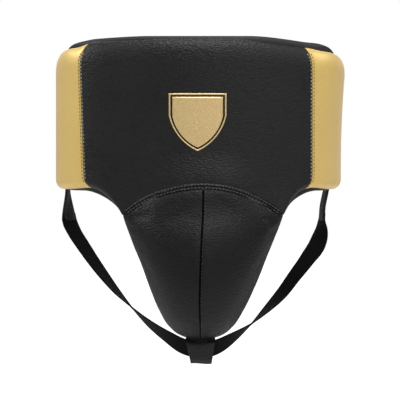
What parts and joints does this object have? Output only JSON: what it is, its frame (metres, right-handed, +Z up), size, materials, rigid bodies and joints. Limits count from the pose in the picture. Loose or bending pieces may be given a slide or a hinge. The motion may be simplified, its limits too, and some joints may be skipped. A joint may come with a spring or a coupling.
{
  "type": "boxing groin protector",
  "caption": "Padded groin guard: contoured black cup under a belly pad with gold hip panels, elastic rear bands with a hook-and-loop closure and a leg strap.",
  "frame": {"origin": "middle of the waist opening, level with the middle of the hip pads", "axes": "+Z up along the wearer's body; the front faces -Y; +X to the right when seen from the front"},
  "size_m": [0.3356, 0.2576, 0.378],
  "materials": {
    "leather_black": "black artificial leather with a fine pebble grain, satin",
    "leather_gold": "gold metallic-coated artificial leather, satin",
    "firm_foam": "closed-cell foam",
    "soft_foam": "open-cell foam",
    "lining": "smooth black lining leather, matt",
    "cup_plastic": "injection-moulded polypropylene",
    "rim_rubber": "soft rubber edging",
    "emblem_foil": "gold foil transfer",
    "elastic": "ribbed black woven elastic",
    "strap_elastic": "black braided elastic",
    "hook_and_loop": "black hook-and-loop pile"
  },
  "bodies": {
    "root": {"belly_cover": "leather_black", "belly_foam": "firm_foam", "hip_cover_left": "leather_gold", "hip_cover_right": "leather_gold", "hip_foam_left": "firm_foam", "hip_foam_right": "firm_foam", "rear_foam": "soft_foam", "rear_lining": "lining", "cup_cover_left": "leather_black", "cup_cover_right": "leather_black", "cup_foam": "firm_foam", "cup_shell": "cup_plastic", "cup_inner_foam": "soft_foam", "cup_lining": "lining", "cup_rim": "rim_rubber", "front_emblem": "emblem_foil", "band_anchor_left": "elastic", "band_anchor_right": "elastic", "crotch_tab_anchor": "leather_black", "hanger_left": "leather_black", "hanger_right": "leather_black", "leg_strap_left": "strap_elastic", "leg_strap_right": "strap_elastic"},
    "rear_band_right": {"rear_band_right": "elastic", "closure_base": "leather_black"},
    "closure_tab": {"closure_tab": "leather_black", "hook_patch": "hook_and_loop"},
    "rear_band_left": {"rear_band_left": "elastic", "loop_patch": "hook_and_loop"},
    "crotch_tab": {"crotch_tab": "leather_black", "leg_strap_centre": "strap_elastic"}
  },
  "joints": [
    {"name": "right_band_swing", "type": "hinge", "parent": "root", "child": "rear_band_right", "pos_m": [0.15174, 0.01855, 0], "axis": [0, 0, -1], "range_deg": [0, 75]},
    {"name": "left_band_swing", "type": "hinge", "parent": "root", "child": "rear_band_left", "pos_m": [-0.15174, 0.01855, 0], "axis": [0, 0, 1], "range_deg": [0, 45]},
    {"name": "closure_tab_peel", "type": "hinge", "parent": "rear_band_right", "child": "closure_tab", "pos_m": [0.011, 0.1075, 0], "axis": [0, 0, -1], "range_deg": [0, 110]},
    {"name": "crotch_tab_swing", "type": "hinge", "parent": "root", "child": "crotch_tab", "pos_m": [0, -0.08, -0.2544], "axis": [1, 0, 0], "range_deg": [-10, 50]}
  ],
  "couplings": [
    {"joint": "left_band_swing", "follows": "right_band_swing", "ratio": 0.55}
  ]
}
